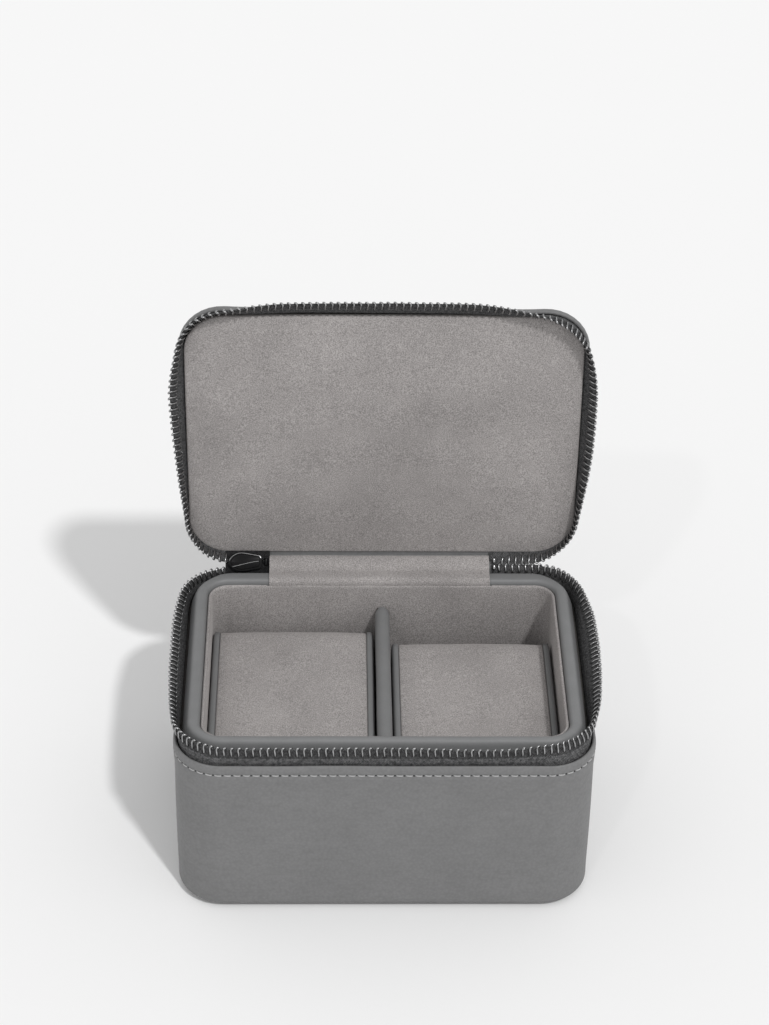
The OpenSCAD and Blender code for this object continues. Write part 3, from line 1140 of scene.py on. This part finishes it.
LID_LINE = Line(
    [
        (0, -1.95, 79.1), (44, -1.95, 79.1), (55, -1.7, 79), (61.7, -0.1, 78.2), (66.5, 1.58, 77.6), (72, 2.4, 77.4), (81.6, 2.49, 77.4),
        (95.6, 0.39, 77.2), (109, -1.65, 77.3), (122, -2.65, 77.6), (133, -2.83, 77.7), (144, -3, 77.7),
        (155, -1.6, 77.3), (163, 0.66, 77.1), (167.5, 2.3, 77.1), (172, 2.8, 77.1), (176.2, 2.7, 77.2), (182.2, 2.4, 77.2),
        (187.8, 1, 77.2), (193, -0.7, 77.4), (198.2, -1.9, 77.7), (203.5, -2.8, 78.2), (208.8, -3.3, 78.6), (214.2, -4, 78.9),
        (229.7, -3.92, 79.2), (245.6, -4.05, 79.3), (264, -3.9, 79.3), (278, -3.85, 79.2), (284, -3.75, 79), (289, -3.77, 78.6),
        (294, -3.2, 78.1), (299.2, -2.3, 77.8), (304, -1.4, 77.6), (309.2, -0.6, 77.4), (314, -0.7, 77.4), (319, -0.65, 77.4),
        (324.5, -0.1, 77.3), (328, 0, 77.3), (331, -0.3, 77.3), (338.2, -2, 77.6), (348.8, -3.62, 78.1),
        (355, -3.3, 77.9), (368, -2.5, 77.6), (383, -1.3, 77.3), (396, 0.1, 77.1), (407, 1.8, 77.1), (417, 2, 77.3),
        (423, 1.2, 77.5), (429.5, 0.2, 78), (434, -0.6, 78.5), (438, -0.98, 78.82), (494, -0.98, 78.82),
    ],
    (2.4, 86.8),
    (1.6, 82.7),
    True,
)


def tape_strip(name, line, start, end, to):
    def profile(s):
        middle = smooth_line(line.tape(s), 2)
        d = np.gradient(middle, axis=0)
        d /= np.linalg.norm(d, axis=1)[:, None]
        side = np.stack([-d[:, 1], d[:, 0]], axis=1) * 0.25
        return [tuple(p) for p in middle + side] + [tuple(p) for p in (middle - side)[::-1]]

    o = sweep(name, profile, stations(start, end, 1.5), TAPE, around=False, to=to)
    # across the tape the UV map runs from its edge: down from 0 on the outer side, up from 220 on the inner one;
    # zip_tape paints shade from these, darker on the inner side and darker still on the outer side's last 4.3 mm under
    # the coil
    rows = len(profile(start))
    half = rows // 2 - 1
    uv = o.data.uv_layers[0].data
    quads = [f for f in o.data.polygons if len(f.vertices) == 4]
    edge = {}
    for f in quads:
        if f.index % rows == half - 1:
            for i in f.loop_indices:
                u, v = uv[i].uv
                edge[round(u, 3)] = max(v, edge.get(round(u, 3), 0.0))
    for f in quads:
        inner = (f.index % rows < half) == line.follows
        for i in f.loop_indices:
            u, v = uv[i].uv
            d = abs(v - edge[round(u, 3)])
            uv[i].uv = (u, 220 + d if inner else -d)
    return o


def coil(name, line, start, end, phase, to):
    """The zip's teeth: one wire wound flat, its heads standing over the tape's edge."""
    turn = [
        (0.22, -0.72, -3.0, 0.31),
        (0.16, -0.8, -1.9, 0.32),
        (0.02, -0.66, -1.0, 0.33),
        (0.0, -0.42, -0.45, 0.34),
        (0.16, -0.16, -0.1, 0.36),
        (0.46, 0.0, 0.03, 0.38),
        (0.76, 0.16, -0.1, 0.36),
        (0.92, 0.42, -0.45, 0.34),
        (0.9, 0.66, -1.0, 0.33),
        (0.76, 0.82, -1.9, 0.32),
        (0.72, 0.84, -3.0, 0.3),
        (0.78, 0.5, -3.65, 0.22),
        (1.0, 0.0, -3.85, 0.1),
        (1.95, 0.0, -3.85, 0.1),
        (2.6, -0.45, -3.6, 0.22),
    ]
    points, radii = [], []
    n = int((end - start) / COIL)
    for k in range(n):
        for along, out, up, r in turn:
            s = start + (k + phase) * COIL + along
            x, y, nx, ny = outline(s)
            tip, head, away = line.axes(s)
            o, z = tip + away * out + head * (up + 0.35)
            points.append(to((x - o * nx, y - o * ny, z)))
            radii.append(r)
    fine = smooth_line([(*p, r) for p, r in zip(points, radii)], 2)
    return tube(name, fine[:, :3], fine[:, 3], METAL, 8)


ribbon = tape_strip("base_zip_ribbon", BASE_LINE, 41.8, ROUND - 58.7, same)
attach(ribbon, "base")
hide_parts("base_zip_tape")

teeth = coil("base_zip_coil", BASE_LINE, ZIP_FROM, ZIP_TO, 0.0, same)
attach(teeth, "base")
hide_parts("base_zip_teeth")

ribbon = tape_strip("lid_zip_ribbon", LID_LINE, 41.8, ROUND - 58.9, lid)
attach(ribbon, "lid")
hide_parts("lid_zip_tape")

teeth = coil("lid_zip_coil", LID_LINE, ZIP_FROM, ZIP_TO, 0.5, lid)
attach(teeth, "lid")
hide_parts("lid_zip_teeth")


def strip(name, centre, x0, x1, thick, material, step, ripple=0.0, seed=0.0, uv=1.0):
    """A strip of cloth or leather lying along a line of (y, z) points, from x0 to x1."""
    line = smooth_line(centre, 4)
    xs = stations(x0, x1, step)
    d = np.gradient(line, axis=0)
    d /= np.linalg.norm(d, axis=1)[:, None]
    normal = np.stack([-d[:, 1], d[:, 0]], axis=1)
    rows = len(line)
    span = np.concatenate([[0], np.cumsum(np.linalg.norm(np.diff(line, axis=0), axis=1))])
    verts, faces, uvs = [], [], []
    for x in xs:
        for side in (0.5, -0.5):
            for i in range(rows):
                end = math.sin(math.pi * min(1, max(0, i / (rows - 1))))
                shift = ripple * end * wobble(x, span[i], 0, 16, seed)
                y, z = line[i] + normal[i] * (side * thick + shift)
                verts.append((x, y, z))
    block = 2 * rows

    def quad(i, a, b, va, vb):
        faces.append((i * block + a, (i + 1) * block + a, (i + 1) * block + b, i * block + b))
        uvs.extend([(xs[i], va), (xs[i + 1], va), (xs[i + 1], vb), (xs[i], vb)])

    for i in range(len(xs) - 1):
        for k in range(rows - 1):
            quad(i, k, k + 1, span[k], span[k + 1])
            quad(i, rows + k + 1, rows + k, span[k + 1], span[k])
        quad(i, rows, 0, 0.0, 0.0)
        quad(i, rows - 1, 2 * rows - 1, span[-1], span[-1])
    for i in (0, len(xs) - 1):
        for k in range(rows - 1):
            faces.append((i * block + k, i * block + k + 1, i * block + rows + k + 1, i * block + rows + k))
            uvs.extend([(xs[i], span[k]), (xs[i], span[k + 1]), (xs[i], span[k + 1]), (xs[i], span[k])])
    return make(name, verts, faces, uvs, material, 60), float(span[-1])


BEND_FROM, BEND_TO = (0, 54.3 * MM, 73.0 * MM), (0, 61.0 * MM, 79.3 * MM)

outer_hinge, outer_run = strip(
    "hinge_leather_strip",
    [(53.42, 64.5), (53.42, 67.2), (53.4, 69.6), (53.6, 72.0), (54.1, 74.2), (54.9, 75.7), (56.2, 76.55), (57.8, 76.85), (59.2, 77.0), (59.95, 77.5), (60.25, 78.25), (60.45, 79.0), (60.85, 79.5), (61.7, 79.66), (63.2, 79.68), (66.0, 79.68)],
    -43.15,
    42.2,
    0.62,
    LEATHER,
    2.0,
    ripple=0.25,
    seed=2.0,
)
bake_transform(outer_hinge)
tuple(BEND_FROM)
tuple(BEND_TO)
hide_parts("hinge_leather")

inner_hinge, inner_run = strip(
    "hinge_velvet_strip",
    [(44.95, 70.5), (44.95, 72.6), (45.02, 74.4), (45.25, 75.5), (46.0, 76.25), (47.2, 76.5), (49.6, 76.3), (51.4, 76.2), (53.1, 76.75), (54.7, 77.85), (56.1, 78.45), (57.2, 78.6), (57.9, 78.4), (58.25, 77.95), (58.4, 77.45)],
    -43.2,
    41.5,
    0.65,
    VELVET,
    2.0,
    ripple=0.3,
    seed=5.0,
)
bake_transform(inner_hinge)
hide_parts("hinge_lining")

# the zip's end behind the slider, closed with the near-black tape: painted shade of the fold between the two tapes
end_tape, end_run = strip(
    "zip_end_tape",
    [(53.25, 68.5), (53.2, 70.5), (53.35, 72.6), (53.95, 74.6), (54.9, 76.1), (55.9, 77.25), (56.91, 78.38), (57.66, 79.04), (58.25, 79.47), (59.1, 79.6), (60.4, 79.64), (62.0, 79.85), (63.4, 80.2)],
    -60.2,
    -43.1,
    0.5,
    SHADE_BLACK_TAPE,
    1.5,
)
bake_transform(end_tape)

# ------------------------------------------------------------------ stops, slider and puller


def block(name, x0, x1, y0, y1, z0, z1, bevel, material=LACQUER):
    """A small block with rounded edges."""
    cx, cy = (x0 + x1) / 2, (y0 + y1) / 2
    a, b = (x1 - x0) / 2, (y1 - y0) / 2
    bevel = min(bevel, a * 0.9, b * 0.9, (z1 - z0) * 0.45)
    steps = 4
    rings = [(min(a, b), z0), (bevel, z0)]
    rings += [
        (bevel * (1 - math.sin(t)), z0 + bevel * (1 - math.cos(t)))
        for t in [math.pi / 2 * i / steps for i in range(1, steps + 1)]
    ]
    rings += [
        (bevel * (1 - math.cos(t)), z1 - bevel * (1 - math.sin(t)))
        for t in [math.pi / 2 * i / steps for i in range(0, steps + 1)]
    ]
    rings += [(min(a, b), z1)]
    return pillow(
        name, a, b, min(a, b) * 0.95, rings, lambda u, v, h, i: (cx + u, cy + v, h), material, step=1
    )


SLIDER_Y, SLIDER_Z, LEAN = 55.85, 77.15, math.radians(38)


def leaning(o, drop=0.0):
    """Leans a piece made upright about the zip's middle over to where the bent tapes hold it."""
    co = np.array([v.co for v in o.data.vertices], float) / MM
    c, s = math.cos(LEAN), math.sin(LEAN)
    y, z = co[:, 1].copy(), co[:, 2].copy()
    co[:, 1] = SLIDER_Y + y * c + z * s
    co[:, 2] = SLIDER_Z - drop - y * s + z * c
    o.data.vertices.foreach_set("co", (co * MM).ravel())
    o.data.update()
    return o


stop = leaning(
    join(
        "zip_bottom_stop_piece",
        [
            block("s1", -45.3, -43.7, -1.1, 1.0, -1.6, 1.6, 0.6),
            block("s2", -45.9, -45.0, -0.6, 0.6, -1.0, 1.0, 0.35),
        ],
    )
)
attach(stop, "base")
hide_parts("zip_bottom_stop")

stop = leaning(block("zip_top_stop_base_piece", 42.9, 44.3, -0.9, 0.9, -2.4, -0.2, 0.6, METAL), 0.8)
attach(stop, "base")
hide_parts("zip_top_stop_base")

stop = leaning(block("zip_top_stop_lid_piece", 42.9, 44.3, -0.9, 0.9, 0.2, 2.4, 0.6, METAL), 0.8)
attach(stop, "lid")
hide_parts("zip_top_stop_lid")

SLIDER_X = [-59.1, -58.5, -57.0, -55.2, -53.2, -50.6, -48.2, -46.7, -46.1]
SLIDER_H = [0.9, 1.8, 3.0, 3.65, 3.7, 3.3, 2.9, 2.6, 1.9]


def slider_outline(inset=0.0):
    """The slider's plate seen from inside the case, a shield wider where the teeth part."""
    shape = smooth_line([(x, h) for x, h in zip(SLIDER_X, SLIDER_H)], 3)
    middle = -52.3
    k = 1 - inset / 6.0
    top = [(middle + (x - middle) * k, h - inset) for x, h in shape]
    return top + [(x, -h) for x, h in top[::-1]]


def slider():
    parts = [
        flat_shape("p1", [slider_outline()], 0.75, 0.25, lambda u, v, w: (u, -1.62 + w, v), LACQUER),
        flat_shape("p1", [slider_outline(0.75)], 0.7, 0.3, lambda u, v, w: (u, -1.98 + w, v), LACQUER),
        flat_shape("p2", [slider_outline()], 0.8, 0.28, lambda u, v, w: (u, 1.55 + w, v), LACQUER),
        block("p3", -58.0, -55.4, -1.35, 1.25, -0.8, 0.8, 0.35),
    ]
    for z in (3.0, -3.0):
        for y in (-1.2, 0.95):
            parts.append(block("p4", -56.3, -52.2, y - 0.25, y + 0.28, z - 0.35, z + 0.4, 0.2))
    # the arch the puller hangs from, with a foot at each end
    arch = [(-48.85, 1.7, 0.0), (-48.95, 2.9, 0.0), (-49.3, 3.75, 0.0), (-50.1, 4.05, 0.0), (-52.25, 4.05, 0.0),
            (-54.4, 4.05, 0.0), (-55.2, 3.75, 0.0), (-55.55, 2.9, 0.0), (-55.65, 1.7, 0.0)]
    parts.append(tube("p5", smooth_line(arch, 4), [0.62] * 6 + [0.48] * 21 + [0.62] * 6, LACQUER, 12))
    for x in (-48.85, -55.65):
        parts.append(block("p6", x - 0.85, x + 0.85, 1.7, 2.35, -1.0, 1.0, 0.3))
    return leaning(join("zip_slider_body", parts))


body = slider()
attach(body, "slider")
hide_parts("zip_slider")

# lighter bare-metal beads along the slider's top edge and its ridge: painted highlight lines on the black slider
bead = [(x, -2.12, z) for x, z in slider_outline(0.4)]
bead = bead[: len(bead) // 2]
ridge = [(-57.4, -2.28, -1.9), (-55.6, -2.4, -1.5), (-52.6, -2.42, -0.75), (-49.6, -2.4, -0.1), (-47.4, -2.3, 0.2)]
edges = leaning(
    join(
        "zip_slider_painted_highlights",
        [
            tube("e1", bead, 0.2, METAL, 8),
            tube("e2", smooth_line(ridge, 4), 0.2, METAL, 8),
        ],
    )
)
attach(edges, "slider")

PX, PY = -52.25, SLIDER_Y + 4.05 * math.cos(LEAN)
PZ = SLIDER_Z - 4.05 * math.sin(LEAN)
TZ = PZ - 6.05
ring = []
for a in range(0, 181, 15):
    t = math.radians(a)
    ring.append((PX, PY + 1.05 * math.cos(t), PZ + 1.05 * math.sin(t)))
for i in range(1, 6):
    ring.append((PX, PY - 1.05, PZ - 5 * i / 6))
for a in range(180, 361, 15):
    t = math.radians(a)
    ring.append((PX, PY + 1.05 * math.cos(t), TZ + 1.05 + 1.05 * math.sin(t)))
for i in range(1, 7):
    ring.append((PX, PY + 1.05, TZ + 1.05 + 5 * i / 6))
link = tube("puller_link_wire", ring, 0.42, LACQUER, 12)
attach(link, "link")
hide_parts("puller_link")


def tab_outline(grow=0.0):
    pts = [(0.0, 50.0 - grow)]
    pts += [(2.6 + grow, 50.3), (3.35 + grow, 51.4), (3.5 + grow, 53.5), (3.5 + grow, 60.0), (3.4 + grow, 64.5), (2.9 + grow, 66.6)]
    pts += [(2.1 + grow, 68.2), (1.75 + grow, 69.6), (2.0 + grow, 70.9), (1.75 + grow, 72.4), (1.0, 73.35), (0.0, 73.6 + grow)]
    half = smooth_line(pts, 4)
    return [tuple(p) for p in half] + [(-x, z) for x, z in half[::-1][1:-1]]


hole = [(0.8 * math.cos(t), 71.5 + 0.8 * math.sin(t)) for t in np.linspace(0, 2 * math.pi, 20, endpoint=False)]
window = smooth_line(
    [(0.0, 52.2), (1.5, 52.5), (2.1, 54.0), (2.15, 59.0), (1.9, 64.0), (1.0, 66.0), (0.0, 66.4)], 4
)
window = [tuple(p) for p in window] + [(-x, z) for x, z in window[::-1][1:-1]]
tab = join(
    "puller_tab_plate",
    [
        flat_shape("t1", [tab_outline(), hole, window], 1.15, 0.35, lambda u, v, w: (PX + u, PY + w, v + TZ - 71.5), LACQUER),
        flat_shape("t2", [[(x * 1.12, 59.3 + (z - 59.3) * 1.04) for x, z in window]], 0.6, 0.18, lambda u, v, w: (PX + u, PY + w, v + TZ - 71.5), LACQUER),
    ],
)
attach(tab, "puller")
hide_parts("puller_tab")

# ------------------------------------------------------------------ the watch cushions

CUSHION_A, CUSHION_B, CUSHION_R = 36.5, 22.9, 9.0
CUSHION_MID = 37.1
END = 2.85


def cushion_cover(name, x0, x1, y):
    """The velvet-covered foam between the two ends: its section carried from x0 to x1."""
    rings = [(21.5, x0), (14, x0), (8.2, x0), (3.5, x0), (1.2, x0 + 0.03), (0.7, x0 + 0.25)]
    n = 20
    rings += [(0.6, x0 + 0.7 + (x1 - x0 - 1.4) * i / n) for i in range(n + 1)]
    rings += [(0.7, x1 - 0.25), (1.2, x1 - 0.03), (3.5, x1), (8.2, x1), (14, x1), (21.5, x1)]

    def place(u, v, h, i):
        t = min(1.0, max(0.0, (h - x0) / (x1 - x0)))
        crown = 4 * t * (1 - t)
        grow = 1.0
        if i < 1.0 and v > -19:
            grow += 0.012 * crown
        return (h, y + u * grow, CUSHION_MID + v * grow)

    return pillow(name, CUSHION_A, CUSHION_B, CUSHION_R, rings, place, VELVET, step=2.6)


def cushion_end(name, x0, y, flip):
    """A leather-covered end board, slightly padded, rounded more on its outer face."""
    t = END
    rings = [(21.5, 0.0), (15, 0.0), (8.3, 0.02), (4, 0.08), (1.9, 0.18), (1.0, 0.36), (0.42, 0.7), (0.12, 1.15)]
    rings += [(0.1, t - 0.7), (0.25, t - 0.3), (0.7, t - 0.08), (1.9, t), (4, t), (8.3, t), (15, t), (21.5, t)]

    def place(u, v, h, i):
        w = 0.08 * wobble(u, v, h, 12, x0) * (1 if i > 2 and h < 1 else 0)
        return (x0 + (t - h - w if flip else h + w), y + u, CUSHION_MID + v)

    return pillow(name, CUSHION_A, CUSHION_B, CUSHION_R, rings, place, SMOOTH, step=2.4)


for side, x0, x3, y in (("left", -64.75, -3.0, 3.5), ("right", 3.45, 64.35, -3.7)):
    a, b = x0 + END, x3 - END
    cover = cushion_cover(side + "_cushion_velvet", a, b, y)
    inflate(
        cover,
        3.0,
        1.6,
        lambda x, y, z, a=a, b=b: x < a + 1.0 or x > b - 1.0 or z < 16.5,
        frames=16,
    )
    co = np.array([v.co for v in cover.data.vertices], float) / MM
    for i, (px, py, pz) in enumerate(co):
        t = min(1.0, max(0.0, (px - a) / (b - a)))
        if 0.03 < t < 0.97 and pz > 17:
            # small creases where the cloth is pulled over the ends
            pull = 0.16 * (4 * t * (1 - t)) * wobble(px, py, pz, 10, x0)
            edge = 0.14 * math.exp(-min(px - a, b - px) / 3.0) * math.sin(py * 0.9 + pz * 0.7)
            d = np.array((0.0, py - y, (pz - CUSHION_MID) * 1.6))
            d /= max(1e-6, np.linalg.norm(d))
            co[i] = co[i] + d * (pull + edge)
    cover.data.vertices.foreach_set("co", (co * MM).ravel())
    finish_mesh(cover.data, 60)
    body_name = side + "_cushion"
    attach(cover, body_name)
    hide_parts(side + "_cushion_cover", side + "_cushion_foam")
    near, far = ("outer", "inner") if side == "left" else ("inner", "outer")
    for which, ex in ((near, x0), (far, x3 - END)):
        end = cushion_end(f"{side}_cushion_{which}_board", ex, y, ex > x0)
        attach(end, body_name)
        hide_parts(f"{side}_cushion_end_{which}")

# ------------------------------------------------------------------ what stays of the CAD, and the floor

CARRIED = {
    "base_carcass": ("board", BOARD),
    "divider_board": ("board", BOARD),
    "lid_panel_board": ("board", BOARD),
}
for name, (slot_name, material) in CARRIED.items():
    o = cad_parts[name]
    o.data.materials.clear()
    o.data.materials.append(material)

bpy.ops.mesh.primitive_plane_add(size=12, location=(0, 0, 0))
floor = bpy.context.object
floor.name = "studio_floor"
floor.data.materials.append(paper())
